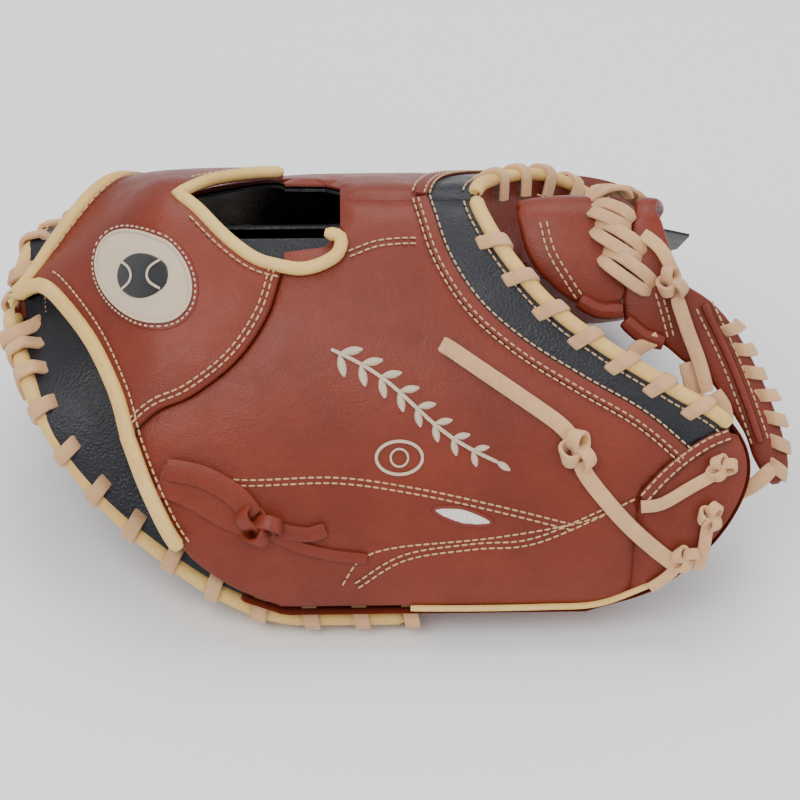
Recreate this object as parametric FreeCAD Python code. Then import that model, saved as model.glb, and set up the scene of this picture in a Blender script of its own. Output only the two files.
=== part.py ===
import FreeCAD, Part
import math
import os

Vector = FreeCAD.Vector
os.makedirs("parts", exist_ok=True)

# Every size is in millimetres, every angle in degrees.
# Each half of the mitt is drawn flat: x runs from wrist to fingertips along the fold,
# r runs from the fold down to the rim, and n stands out of the back of the mitt.
halfLean = 41.0
closeAngle = 20.0
foldClearance = 0.35
panelGap = 0.4
contactGap = 0.1

# Overall outline
rimReach = 165.0
rimFlatStart = -45.0
rimFlatEnd = 75.0
heelReach = 144.0
webRidgeX = 33.0
heelRidgeX = -108.0
fingerTipReach = 113.0

# Layers through one half
domeRise = 20.0
backLeather = 2.0
backLining = 2.0
palmDepth = 26.5
palmLeather = 2.5
padThickness = 12.0
linerThickness = 1.2
rimWall = 2.5
padInset = 3.0

# Trim
bindingWidth = 6.0
bindingHeight = 2.6
tapeWidth = 5.0
tapeHeight = 1.2
pipingWidth = 3.0
pipingHeight = 1.6
laceWidth = 6.0
laceThickness = 1.8
heelRollWidth = 5.0
loopInner = 9.0
strapLeather = 3.0
patchLong = 20.0
patchShort = 15.0
patchTilt = 42.0
webThickness = 3.0
webTopDepth = 2.0
feltDepth = 0.6
stitchRise = 0.9
knotRadius = 6.5
ballRadius = 8.5
pocketDepth = 55.0
pocketHalf = 8.0
pocketRise = 8.0
pocketLength = 165.0

domeHalf = rimReach / 2.0
domeRadius = (domeHalf ** 2 + domeRise ** 2) / (2.0 * domeRise)
domeCentre = domeRise - domeRadius
axisHeight = (
    rimReach * math.cos(math.radians(halfLean))
    + palmDepth * math.sin(math.radians(halfLean))
)
reach = 400.0
outlineDeflection = 0.12
lengthShift = -2.68
edgeClearance = 0.3


def pt(x, r, n=0.0):
    return Vector(x, -r, n)


def skin(r):
    return domeCentre + math.sqrt(domeRadius ** 2 - (r - domeHalf) ** 2)


def spline(points, start=None, end=None):
    curve = Part.BSplineCurve()
    vectors = [pt(x, r) for x, r in points]
    if start and end:
        curve.interpolate(
            Points=vectors,
            InitialTangent=pt(*start),
            FinalTangent=pt(*end),
        )
    else:
        curve.interpolate(vectors)
    return curve


def face(edges):
    return Part.Face(Part.Wire(Part.__sortEdges__(edges)))


def polygon(points):
    closed = [pt(x, r) for x, r in points]
    closed.append(closed[0])
    return Part.Face(Part.makePolygon(closed))


def rounded(points):
    curve = Part.BSplineCurve()
    curve.interpolate(Points=[pt(x, r) for x, r in points], PeriodicFlag=True)
    return face([curve.toShape()])


def prism(flat, low, high):
    body = flat.copy()
    body.translate(Vector(0, 0, low))
    return body.extrude(Vector(0, 0, high - low))


def cylinder(depth):
    return Part.makeCylinder(
        domeRadius - depth,
        2.0 * reach,
        pt(-reach, domeHalf, domeCentre),
        Vector(1, 0, 0),
    )


def slab(flat, top, bottom):
    # A layer that follows the dome of the back, from one depth to another.
    return prism(flat, -40.0, 60.0).common(cylinder(top)).cut(cylinder(bottom))


def ribbon(points, width):
    # A flat strip of even width about a smooth line.
    line = spline(points)
    first, last = line.FirstParameter, line.LastParameter
    count = max(6, 2 * len(points))
    left, right = [], []
    for i in range(count + 1):
        at = first + (last - first) * i / count
        centre = line.value(at)
        along = line.tangent(at)[0]
        side = Vector(-along.y, along.x, 0).normalize() * (width / 2.0)
        left.append(centre + side)
        right.append(centre - side)
    edgeA, edgeB = Part.BSplineCurve(), Part.BSplineCurve()
    edgeA.interpolate(left)
    edgeB.interpolate(right)
    ends = [Part.makeLine(left[0], right[0]), Part.makeLine(left[-1], right[-1])]
    return face([edgeA.toShape(), edgeB.toShape()] + ends)


def sector(below, above, shift):
    # Everything between two planes through a line beside the fold.
    low = Vector(0, -reach * math.cos(math.radians(below)),
                 -reach * math.sin(math.radians(below)))
    high = Vector(0, -reach * math.cos(math.radians(above)),
                  reach * math.sin(math.radians(above)))
    move = Vector(-reach, -shift, 0)
    corners = [Vector(0, 0, 0), low, high, Vector(0, 0, 0)]
    flat = Part.Face(Part.makePolygon([c + move for c in corners]))
    return flat.extrude(Vector(2.0 * reach, 0, 0))


uprightAngle = 90.0 - halfLean
halfSector = sector(halfLean - closeAngle / 2.0, 85.0, foldClearance)
thumbSpace = Part.makeBox(
    2.0 * reach, reach, 2.0 * reach, Vector(-reach, -reach, -reach)
)


def place(shape):
    shape = shape.copy()
    shape.rotate(Vector(0, 0, 0), Vector(1, 0, 0), uprightAngle)
    shape.translate(Vector(lengthShift, 0, axisHeight))
    return shape


def mirrored(shape):
    return shape.mirror(Vector(0, 0, 0), Vector(0, 1, 0))


def biggest(shape):
    solids = sorted(shape.Solids, key=lambda s: s.Volume)
    return solids[-1]


def write(name, shape):
    cleaned = shape.removeSplitter()
    sound = cleaned.isValid() and len(cleaned.Solids) == 1
    solid = cleaned.Solids[0] if sound else biggest(shape)
    if not solid.isValid() or len(shape.Solids) != 1:
        print("look at", name, solid.isValid(), len(shape.Solids), sound)
    solid.exportStep("parts/" + name + ".step")


def trimmed(shape):
    # Keep clear of the other half over the whole travel of the fold.
    kept = shape.common(halfSector)
    return biggest(kept) if kept.Solids else biggest(shape)


def writeThumb(name, shape):
    write(name, place(trimmed(shape)))


def writeFinger(name, shape):
    write(name, mirrored(place(trimmed(shape))))


def writeBridge(name, shape):
    # A piece that crosses the fold, the same on both sides.
    half = place(shape).common(thumbSpace)
    write(name, half.fuse(mirrored(half)))


# Outlines, from the fold at the wrist round the rim to the fold at the web
heelCurve = [
    (heelRidgeX, 0.0), (-130.0, 20.0), (-heelReach, 46.0), (-141.0, 72.0),
    (-130.0, 98.0), (-110.0, 123.0), (-82.0, 146.0), (rimFlatStart, rimReach),
]
thumbTipCurve = [
    (rimFlatEnd, rimReach), (104.0, 155.0), (127.0, 135.0), (138.0, 112.0),
    (131.0, 93.0), (108.0, 78.0), (84.0, 63.0), (62.0, 46.0),
    (46.0, 27.0), (36.0, 10.0), (webRidgeX, 0.0),
]
fingerTipCurve = [
    (rimFlatEnd, rimReach), (96.0, 157.0), (109.0, 140.0),
    (fingerTipReach, 120.0), (107.0, 99.0), (93.0, 78.0), (76.0, 59.0),
    (60.0, 43.0), (46.0, 26.0), (36.0, 9.5), (webRidgeX, 0.0),
]
outward = (1.0, 0.25)
heelEdge = spline(heelCurve, (-1.0, 0.5), outward).toShape()
bottomLine = Part.makeLine(pt(rimFlatStart, rimReach), pt(rimFlatEnd, rimReach))
ridgeLine = Part.makeLine(pt(webRidgeX, 0.0), pt(heelRidgeX, 0.0))
thumbTip = spline(thumbTipCurve, (1.0, 0.0), (-0.2, -1.0)).toShape()
fingerTip = spline(fingerTipCurve, (1.0, 0.0), (-0.2, -1.0)).toShape()
thumbOutline = face([heelEdge, bottomLine, thumbTip, ridgeLine])
fingerOutline = face([heelEdge, bottomLine, fingerTip, ridgeLine])


def grown(flat, distance):
    # The outline moved outwards, or inwards if negative, as short straight edges.
    moved = flat.makeOffset2D(distance).Faces[0] if distance else flat
    spots = moved.OuterWire.discretize(QuasiDeflection=outlineDeflection)
    corners = [spots[0]]
    for spot in spots[1:]:
        if spot.distanceToPoint(corners[-1]) > outlineDeflection:
            corners.append(spot)
    if corners[-1].distanceToPoint(corners[0]) <= outlineDeflection:
        corners.pop()
    return Part.Face(Part.makePolygon(corners + corners[:1]))


def inset(flat, distance):
    return grown(flat, -distance)


def less(flat, *others):
    for other in others:
        flat = flat.cut(other)
    return sorted(flat.Faces, key=lambda f: f.Area)[-1]


def padded(outline):
    # Padding, liner and palm leather of one half, with the hand cavity above them.
    palmLow = -palmDepth
    palmTop = palmLow + palmLeather
    padTop = palmTop + padThickness
    inner = inset(outline, padInset)
    wallInner = inset(outline, rimWall)
    plate = prism(outline, palmLow, palmTop)
    wall = prism(outline, palmTop, 40.0).cut(prism(wallInner, palmTop - 1.0, 41.0))
    heelOpening = Part.makeBox(
        rimFlatStart + reach, 2.0 * reach, 100.0, Vector(-reach, -reach, palmTop)
    )
    foldOpening = Part.makeBox(
        webRidgeX - rimWall + reach, 2.0 * padInset + 20.0, 100.0,
        Vector(-reach, -2.0 * padInset, palmTop)
    )
    wall = wall.common(cylinder(0.0)).cut(heelOpening).cut(foldOpening)
    return plate.fuse(wall), prism(inner, palmTop + contactGap, padTop), padTop


linerTop = -palmDepth + palmLeather + padThickness + linerThickness
loopOuter = heelRollWidth + 2.0 * contactGap + laceThickness


def loopFrames(stations):
    # Square rings of lace round the heel edge, and the slots they pass through.
    rings, slots = [], []
    tall = linerTop + palmDepth + 2.0 * contactGap
    across = loopOuter + loopInner
    for x, r, turn in stations:
        box = Part.makeBox(
            laceWidth, across, tall + 2.0 * laceThickness,
            Vector(-laceWidth / 2.0, -loopOuter,
                   -palmDepth - laceThickness - contactGap),
        )
        hole = Part.makeBox(
            laceWidth + 2.0, across - 2.0 * laceThickness, tall,
            Vector(-laceWidth / 2.0 - 1.0, laceThickness - loopOuter,
                   -palmDepth - contactGap),
        )
        slot = Part.makeBox(
            laceWidth + 2.0 * contactGap, laceThickness + 2.0 * contactGap, 80.0,
            Vector(-laceWidth / 2.0 - contactGap,
                   loopInner - laceThickness - contactGap, -50.0),
        )
        for made, kept in ((box.cut(hole), rings), (slot, slots)):
            made.rotate(Vector(0, 0, 0), Vector(0, 0, 1), turn)
            made.translate(pt(x, r))
            kept.append(made)
    return rings, slots


def along(curve, shares, inward):
    # Stations on an edge: place, and the turn that points a loop inwards.
    line = spline(curve)
    first, last = line.FirstParameter, line.LastParameter
    found = []
    for share in shares:
        at = first + (last - first) * share
        spot = line.value(at)
        way = line.tangent(at)[0]
        turn = math.degrees(math.atan2(way.y, way.x))
        found.append((spot.x - inward * way.y, -spot.y - inward * way.x, turn))
    return found


heelShares = [0.2, 0.31, 0.42, 0.53, 0.64, 0.75, 0.86]
heelStations = along(heelCurve, heelShares, 0.0)
heelRings, heelSlots = loopFrames(heelStations)


def halfBody(outline, save, side):
    tray, pad, padTop = padded(outline)
    liner = prism(inset(outline, padInset), padTop + contactGap,
                  padTop + linerThickness)
    pieces = {"palm_leather": tray, "palm_pad": pad, "palm_liner": liner}
    for name, piece in pieces.items():
        for slot in heelSlots:
            piece = piece.cut(slot)
        save(side + "_" + name, biggest(piece))



def spots(curve, low, high, inward, count=12):
    shares = [low + (high - low) * i / count for i in range(count + 1)]
    return [(x, r) for x, r, turn in along(curve, shares, inward)]


def heelTrim(save, side):
    roll = ribbon(
        spots(heelCurve, 0.1, 0.9, -heelRollWidth / 2.0 - contactGap), heelRollWidth
    )
    roll = less(roll, grown(thumbOutline, contactGap))
    save(side + "_heel_binding", prism(roll, -palmDepth, linerTop))
    run = ribbon(
        spots(heelCurve, heelShares[0], heelShares[-1], loopInner - laceThickness),
        2.0 * laceThickness,
    )
    lace = prism(run, linerTop + contactGap, linerTop + contactGap + laceThickness)
    save(side + "_heel_lace", lace.multiFuse(heelRings))


# The open back, the strap and the seams they share, as (x, r) on one half
backHole = rounded([
    (-66.0, -6.0), (-67.0, 3.0), (-58.0, 14.0), (-42.0, 22.0),
    (-26.0, 23.0), (-20.0, 14.0), (-24.0, 2.0), (-26.0, -6.0),
])
strapWrist = [
    (-116.0, -9.0), (-122.0, 6.0), (-138.0, 29.0), (-128.0, 42.0), (-115.0, 59.0),
    (-107.0, 78.0), (-102.0, 92.0),
]
strapSeam = [
    (-102.0, 92.0), (-92.0, 84.0), (-78.0, 79.0), (-60.0, 66.0), (-48.0, 49.0),
    (-44.0, 30.0),
]
strapHand = [
    (-44.0, 30.0), (-54.0, 25.0), (-65.0, 17.0), (-75.0, 5.0), (-84.0, -9.0),
]
strapOutline = face([
    spline(strapWrist).toShape(),
    spline(strapSeam).toShape(),
    spline(strapHand).toShape(),
    Part.makeLine(pt(*strapHand[-1]), pt(*strapWrist[0])),
])
strapRoom = grown(strapOutline, panelGap)
wristSide = polygon([
    (-200.0, -20.0), (-102.0, -20.0), (-102.0, 92.0), (-95.0, 112.0),
    (-84.0, 136.0), (-74.0, 200.0), (-200.0, 200.0),
])
bandLine = [
    (12.0, -6.0), (14.0, 8.0), (20.0, 27.0), (32.0, 46.0), (50.0, 62.0),
    (72.0, 76.0), (96.0, 90.0), (114.0, 105.0),
]
tipLine = [(94.0, 123.0), (104.0, 113.0), (114.0, 105.0), (123.0, 99.0), (134.0, 94.0)]
tipSide = polygon([
    (84.0, 180.0), (94.0, 123.0), (104.0, 113.0), (114.0, 105.0), (123.0, 99.0),
    (145.0, 88.0), (200.0, 100.0), (200.0, 180.0),
])
bandSide = face([
    spline(bandLine).toShape(),
    Part.makeLine(pt(114.0, 105.0), pt(200.0, 60.0)),
    Part.makeLine(pt(200.0, 60.0), pt(200.0, -6.0)),
    Part.makeLine(pt(200.0, -6.0), pt(12.0, -6.0)),
])
slotFelt = rounded([
    (15.0, 126.0), (22.0, 123.5), (30.0, 125.5), (38.0, 130.0), (30.0, 131.5),
    (22.0, 130.5),
])


def backPanels(outline, save, side, slot, tip):
    area = inset(outline, rimWall + panelGap)
    open_ = [grown(backHole, 0.0), strapRoom, grown(wristSide, panelGap)]
    taken = [grown(bandSide, panelGap / 2.0)]
    taken += [grown(tipSide, panelGap / 2.0)] if tip else []
    taken += [grown(slotFelt, panelGap)] if slot else []
    save(side + "_back", slab(less(area, *open_, *taken), 0.0, backLeather))
    band = area.common(grown(bandSide, -panelGap / 2.0))
    if tip:
        band = band.cut(grown(tipSide, panelGap / 2.0))
        tipFace = area.common(grown(tipSide, -panelGap / 2.0))
        save(side + "_tip_panel", slab(less(tipFace), 0.0, backLeather))
    save(side + "_web_band", slab(less(band), 0.0, backLeather))
    lining = [grown(slotFelt, panelGap)] if slot else []
    under = slab(
        less(area, *open_, *lining),
        backLeather + contactGap,
        backLeather + contactGap + backLining,
    )
    save(side + "_back_lining", biggest(under))


def webEdge(curve, save, side, shares):
    last = curve[4:]
    binding = ribbon(spots(last, 0.03, 0.97, -bindingWidth / 2.0 - edgeClearance),
                     bindingWidth)
    save(side + "_web_binding", slab(binding, -bindingHeight, 0.0))
    runIn = -bindingWidth - 2.0 - laceWidth / 2.0
    lace = slab(
        ribbon(spots(last, shares[0] - 0.02, shares[-1] + 0.02, runIn),
               laceWidth / 2.0),
        -laceThickness - contactGap, -contactGap,
    )
    staples = []
    over = -bindingHeight - contactGap
    for share in shares:
        x0, r0, turn = along(last, [share], runIn)[0]
        x1, r1, turn = along(last, [share], -0.4)[0]
        cross = ribbon([(x0, r0), ((x0 + x1) / 2.0, (r0 + r1) / 2.0), (x1, r1)],
                       laceWidth)
        staples.append(slab(cross, over - laceThickness, over))
        stub = Part.Face(Part.Wire(Part.makeCircle(laceWidth / 3.0, pt(x0, r0))))
        staples.append(slab(stub, over - 0.5 * laceThickness, -contactGap))
    save(side + "_web_lace", lace.multiFuse(staples))


halfBody(thumbOutline, writeThumb, "thumb")
halfBody(fingerOutline, writeFinger, "finger")
heelTrim(writeThumb, "thumb")
heelTrim(writeFinger, "finger")
backPanels(thumbOutline, writeThumb, "thumb", True, True)
backPanels(fingerOutline, writeFinger, "finger", False, False)
webEdge(thumbTipCurve, writeThumb, "thumb",
        [0.22, 0.34, 0.46, 0.58, 0.69, 0.79])
webEdge(fingerTipCurve, writeFinger, "finger",
        [0.22, 0.34, 0.46, 0.58, 0.69, 0.79])


def disc(x, r, long_, short, turn, grow=0.0):
    oval = Part.Ellipse(Vector(0, 0, 0), long_ + grow, short + grow).toShape()
    flat = Part.Face(Part.Wire(oval))
    flat.rotate(Vector(0, 0, 0), Vector(0, 0, 1), turn)
    flat.translate(pt(x, r))
    return flat


# Seam tapes and piping
writeThumb("thumb_band_tape", slab(
    ribbon(bandLine[1:-1], tapeWidth), -tapeHeight, -contactGap))
writeFinger("finger_band_tape", slab(
    ribbon(bandLine[1:-1], tapeWidth), -tapeHeight, -contactGap))
writeThumb("thumb_tip_tape", slab(
    ribbon(tipLine[:2] + [(109.0, 108.5)], tapeWidth), -tapeHeight, -contactGap))
pipingLine = [(5.0, 161.3), (27.0, 161.3), (51.0, 161.0), (76.0, 159.5), (95.0, 153.0)]
piping = slab(ribbon(pipingLine, pipingWidth), -pipingHeight, -contactGap)
writeThumb("thumb_piping", piping)
writeFinger("finger_piping", piping)

# Wool felt in the ventilation slot, and the stitched decoration on the thumb
felt = less(grown(slotFelt, -panelGap))
writeThumb("thumb_slot_felt", slab(felt, feltDepth, backLeather + backLining))
flourish = [(-23.0, 60.0), (-8.0, 65.0), (4.0, 79.0), (19.0, 88.0), (39.0, 107.0)]
writeThumb("thumb_embroidery", slab(
    ribbon(flourish, tapeWidth), -stitchRise, -contactGap))

# The long thumb lace, its knot and its loose tail
longLace = [(18.0, 60.5), (34.0, 71.0), (50.0, 81.5), (71.0, 98.0)]
knotSpot = (71.0, 100.0)
tailLine = [(75.0, 107.5), (83.0, 121.0), (94.0, 134.0), (106.0, 144.0), (111.0, 148.0)]
knot = Part.makeSphere(knotRadius, pt(*knotSpot, skin(knotSpot[1]) + 1.0))
run = slab(ribbon(longLace, laceWidth), -laceThickness - contactGap, -contactGap)
laceRun = run.fuse(knot.cut(cylinder(-contactGap)))
writeThumb("thumb_lace_run", laceRun)
tail = slab(ribbon(tailLine, laceWidth), -laceThickness - contactGap, -contactGap)
writeThumb("thumb_lace_tail", tail.cut(knot))

# The thumb pull strap, tied down in an overhand knot
pullSpot = (-52.0, 128.0)
pullBase = ribbon([(-90.0, 108.0), (-76.0, 114.0), (-54.0, 127.0)], 2.0 * laceWidth)
pullTail = ribbon([(-54.0, 129.0), (-38.0, 133.0), (-25.0, 136.0), (-12.0, 142.0)],
                  laceWidth)
pullKnot = Part.makeSphere(knotRadius + 1.5, pt(*pullSpot, skin(pullSpot[1])))
pull = slab(pullBase, -strapLeather, -contactGap).multiFuse([
    slab(pullTail, -laceThickness - contactGap, -contactGap),
    pullKnot.cut(cylinder(-contactGap)),
])
writeThumb("thumb_pull_strap", pull)

# The wrist strap crosses the fold in one piece, with its lining and edge rolls
strapTop = -strapLeather
writeBridge("wrist_strap", slab(strapOutline, strapTop, 0.0))
writeBridge("wrist_strap_lining", slab(
    grown(strapOutline, -panelGap), contactGap, backLeather))
wristRoll = ribbon(strapWrist, bindingWidth)
handRoll = ribbon(list(reversed(strapHand)), bindingWidth)
rollTop = strapTop - bindingHeight
writeBridge("strap_wrist_binding", slab(wristRoll, rollTop, strapTop - contactGap))
writeBridge("strap_hand_binding", slab(handRoll, rollTop, strapTop - contactGap))
patchX, patchR = -95.5, 33.0
patchTop = strapTop - 1.0
writeThumb("patch_ground", slab(
    disc(patchX, patchR, patchLong, patchShort, -patchTilt), patchTop,
    strapTop - contactGap))
borderFlat = disc(patchX, patchR, patchLong, patchShort, -patchTilt, 2.6).cut(
    disc(patchX, patchR, patchLong, patchShort, -patchTilt, panelGap))
writeThumb("patch_border", slab(borderFlat, strapTop - 1.4, strapTop - contactGap))
ballFlat = Part.Face(Part.Wire(Part.makeCircle(ballRadius, pt(patchX, patchR))))
ball = slab(ballFlat, patchTop - 0.8, patchTop - contactGap)
for way in (-1.0, 1.0):
    seam = [(patchX + way * 4.5, patchR - 6.0), (patchX + way * 2.0, patchR),
            (patchX + way * 4.5, patchR + 6.0)]
    ball = ball.cut(slab(ribbon(seam, 1.0), patchTop - 1.0, patchTop))
writeThumb("patch_emblem", ball)

# The web: three leathers that fold with the mitt, laced together
webTop = -webTopDepth
webLow = webTop - webThickness


def webPiece(points, low=webLow, high=webTop):
    return prism(rounded(points), low, high)


basePoints = [
    (51.0, -14.0), (50.0, 8.0), (54.0, 26.0), (66.0, 42.0), (82.0, 49.0),
    (91.0, 42.0), (92.0, 20.0), (90.0, -14.0),
]
bridgePoints = [
    (97.0, -14.0), (97.0, 6.0), (100.0, 24.0), (97.0, 44.0), (98.0, 60.0),
    (107.0, 72.0), (120.0, 66.0), (122.0, 48.0), (116.0, 28.0), (107.0, 8.0),
    (104.0, -14.0),
]
fingerBridgePoints = [
    (97.0, -14.0), (97.0, 6.0), (99.0, 24.0), (100.0, 42.0), (104.0, 54.0),
    (109.0, 52.0), (111.0, 36.0), (109.0, 20.0), (106.0, 6.0), (104.0, -14.0),
]
capPoints = [
    (127.0, 46.0), (137.0, 58.0), (147.0, 78.0), (155.0, 100.0), (156.0, 112.0),
    (150.0, 117.0), (143.0, 106.0), (138.0, 92.0), (124.0, 79.0), (123.5, 68.0),
    (126.0, 56.0),
]
rimLacePoints = [(131.0, 56.0), (141.0, 74.0), (149.5, 96.0), (152.5, 111.0)]
webLacePoints = [
    (84.0, 6.0), (102.0, 10.0), (84.0, 17.0), (104.0, 23.0), (84.0, 30.0),
    (105.0, 38.0), (86.0, 42.0),
]


def zigzag(points, width):
    strips = []
    for (x0, r0), (x1, r1) in zip(points, points[1:]):
        strips.append(ribbon([(x0, r0), ((x0 + x1) / 2, (r0 + r1) / 2), (x1, r1)],
                             width))
    for x, r in points:
        strips.append(disc(x, r, width / 2 + 0.01, width / 2, 0.0))
    return strips


laceLow = webTop + contactGap
laceHigh = laceLow + laceThickness
writeBridge("web_base", webPiece(basePoints))
thumbWing = place(webPiece(bridgePoints)).common(thumbSpace)
fingerWing = mirrored(place(webPiece(fingerBridgePoints)).common(thumbSpace))
write("web_bridge", thumbWing.fuse(fingerWing))
laceBars = [prism(f, laceLow, laceHigh) for f in zigzag(webLacePoints, laceWidth * 0.6)]
webLace = laceBars[0].multiFuse(laceBars[1:])
tieBars = [prism(f, laceLow, laceHigh)
           for f in zigzag([(112.0, 60.0), (132.0, 64.0)], laceWidth)]
tie = tieBars[0].multiFuse(tieBars[1:])
rimLace = prism(ribbon(rimLacePoints, laceWidth), laceLow, laceHigh)
write("web_cap", place(webPiece(capPoints)))
write("web_cap_lace", place(rimLace.fuse(tie)))
write("web_lace_thumb", place(webLace))
write("web_lace_finger", mirrored(place(webLace)))

# The pocket leather crosses under the fold, between the two palm leathers
section = Part.Face(Part.makePolygon([
    Vector(heelRidgeX + lengthShift, y, axisHeight - z) for y, z in (
        (-pocketHalf, pocketDepth), (0.0, pocketDepth - pocketRise),
        (pocketHalf, pocketDepth), (pocketHalf - palmLeather, pocketDepth),
        (0.0, pocketDepth - pocketRise + palmLeather),
        (palmLeather - pocketHalf, pocketDepth), (-pocketHalf, pocketDepth))
]))
write("pocket_leather", section.extrude(Vector(pocketLength, 0, 0)))
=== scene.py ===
import math
import random
import bpy
import numpy as np
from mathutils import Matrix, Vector
from mathutils.geometry import delaunay_2d_cdt


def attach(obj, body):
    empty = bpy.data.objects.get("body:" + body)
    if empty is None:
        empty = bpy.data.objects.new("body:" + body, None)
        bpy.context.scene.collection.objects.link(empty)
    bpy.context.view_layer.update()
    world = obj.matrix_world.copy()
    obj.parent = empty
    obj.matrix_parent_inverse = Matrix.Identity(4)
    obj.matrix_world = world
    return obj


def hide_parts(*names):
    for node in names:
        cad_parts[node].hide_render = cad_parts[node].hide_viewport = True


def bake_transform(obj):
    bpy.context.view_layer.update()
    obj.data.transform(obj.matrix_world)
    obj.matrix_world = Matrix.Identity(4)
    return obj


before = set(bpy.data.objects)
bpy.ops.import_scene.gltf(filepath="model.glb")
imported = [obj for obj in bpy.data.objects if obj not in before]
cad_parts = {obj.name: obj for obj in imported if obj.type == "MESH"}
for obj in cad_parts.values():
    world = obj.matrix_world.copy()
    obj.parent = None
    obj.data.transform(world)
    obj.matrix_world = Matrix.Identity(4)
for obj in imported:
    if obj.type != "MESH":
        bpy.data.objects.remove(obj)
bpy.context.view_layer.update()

# The mitt's own shape, in millimetres: x along the fold, s across it.
# s is below zero on the thumb half and above zero on the finger half.
mitt = {
    "lean": 41.0,
    "rimReach": 165.0,
    "domeRise": 20.0,
    "palmDepth": 26.5,
    "shift": -2.68,
    "ridgeRound": 12.0,
    "taper": 0.75,
}
lean = math.radians(mitt["lean"])
axisHeight = mitt["rimReach"] * math.cos(lean) + mitt["palmDepth"] * math.sin(lean)
domeHalf = mitt["rimReach"] / 2.0
domeRadius = (domeHalf ** 2 + mitt["domeRise"] ** 2) / (2.0 * mitt["domeRise"])


def domeAt(x, r):
    base = mitt["domeRise"] - domeRadius
    rise = base + math.sqrt(max(1.0, domeRadius ** 2 - (r - domeHalf) ** 2))
    far = max(0.0, (abs(x - 10.0) - 60.0) / 100.0)
    near = min(1.0, max(0.0, (r - 10.0) / 60.0))
    return rise * (1.0 - mitt["taper"] * far * far * near)


def webAt(x, r):
    return -3.5 + 4.0 * math.exp(-((r - 34.0) / 26.0) ** 2)


def innerAt(x, r):
    return -mitt["palmDepth"]


def linerAt(x, r):
    n = -9.5 + 2.5 * math.sin(min(1.0, max(0.0, r / 165.0)) * math.pi)
    return max(n, -2.0 - 0.5 * r) if x < -95.0 else n


def halfPoint(x, r, n, side):
    y = side * (math.sin(lean) * r + math.cos(lean) * n)
    z = axisHeight - math.cos(lean) * r + math.sin(lean) * n
    return Vector((x + mitt["shift"], y, z))


def restPoint(x, s, kind):
    side = -1.0 if s < 0 else 1.0
    r = abs(s)
    edge = mitt["ridgeRound"]
    if r >= edge or kind in (innerAt, linerAt):
        n = kind(x, r)
        if s > 0 and kind is domeAt:
            n *= 1.0 - 0.7 * eased((x - 55.0) / 50.0) * eased((r - 12.0) / 30.0)
        return halfPoint(x, r, n, side)
    at = halfPoint(x, edge, kind(x, edge), 1.0)
    on = halfPoint(x, edge + 0.5, kind(x, edge + 0.5), 1.0)
    tilt = math.atan2(at.z - on.z, on.y - at.y)
    radius = at.y / max(0.05, math.sin(tilt))
    turn = tilt * s / edge
    middle = at.z - radius * math.cos(tilt)
    return Vector((at.x, radius * math.sin(turn), middle + radius * math.cos(turn)))


def eased(t):
    t = min(1.0, max(0.0, t))
    return t * t * (3.0 - 2.0 * t)


def slump(p):
    # The strap end of the fold sinks towards the wrist.
    t = max(0.0, -88.0 - (p.x - mitt["shift"]))
    deep = 0.92 * t * t / (t + 10.0)
    fall = deep * eased((p.z - axisHeight + 78.0) / 74.0) * (1.0 - eased((p.y - 2.0) / 40.0))
    return Vector((p.x, p.y, p.z - fall))


def basePoint(x, s, kind):
    return slump(restPoint(x, s, kind))


def faceReach(p):
    return -(p.y * math.sin(lean) + (p.z - axisHeight) * math.cos(lean))


def pinned(points, kind=domeAt):
    # Points given by their reach face-on, put back on the thumb half's surface.
    out = []
    for x, r in points:
        low, high = -12.0, 165.0
        for k in range(24):
            mid = (low + high) / 2
            if faceReach(basePoint(x, -mid, kind)) < r:
                low = mid
            else:
                high = mid
        out.append((x, (low + high) / 2))
    return out


def heelAt(x, r):
    return max(-11.5, 3.0 - 0.5 * r)


def farHeelAt(x, r):
    # The little-finger edge of the heel flares outwards.
    flare = 22.0 * math.exp(-((r - 112.0) / 38.0) ** 2) * eased((-50.0 - x) / 50.0)
    return heelAt(x, r) + flare


def farLinerAt(x, r):
    lift = farHeelAt(x, r) - heelAt(x, r)
    return linerAt(x, r) + lift * eased((-95.0 - x) / 40.0)


halves = ((-1, "thumb"), (1, "finger"))
heelKind = {-1: heelAt, 1: farHeelAt}


def surfaceNormal(x, s, kind):
    step = 0.6
    a = basePoint(x + step, s, kind) - basePoint(x - step, s, kind)
    lo, hi = s - step, s + step
    if s < 0 <= hi or s >= 0 > lo:
        lo, hi = (s - step, -1e-6) if s < 0 else (1e-6, s + step)
    b = basePoint(x, hi, kind) - basePoint(x, lo, kind)
    return a.cross(b).normalized()


def spot(x, s, h=0.0, kind=domeAt):
    return basePoint(x, s, kind) + surfaceNormal(x, s, kind) * h


# Curves and outlines
def smoothLine(points, step=2.5, closed=False):
    pts = [Vector(p) for p in points]
    count = len(pts)
    out = []
    spans = count if closed else count - 1
    for i in range(spans):
        if closed:
            p0, p1, p2, p3 = (pts[(i + k) % count] for k in (-1, 0, 1, 2))
        else:
            p1, p2 = pts[i], pts[i + 1]
            p0 = pts[i - 1] if i else p1 * 2 - p2
            p3 = pts[i + 2] if i + 2 < count else p2 * 2 - p1
        pieces = max(1, int(round((p2 - p1).length / step)))
        for k in range(pieces):
            t = k / pieces
            a = p1 * 2 + (p2 - p0) * t
            b = (p0 * 2 - p1 * 5 + p2 * 4 - p3) * t * t
            c = (p1 * 3 - p0 - p2 * 3 + p3) * t * t * t
            out.append((a + b + c) * 0.5)
    if not closed:
        out.append(pts[-1])
    return out


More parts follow.
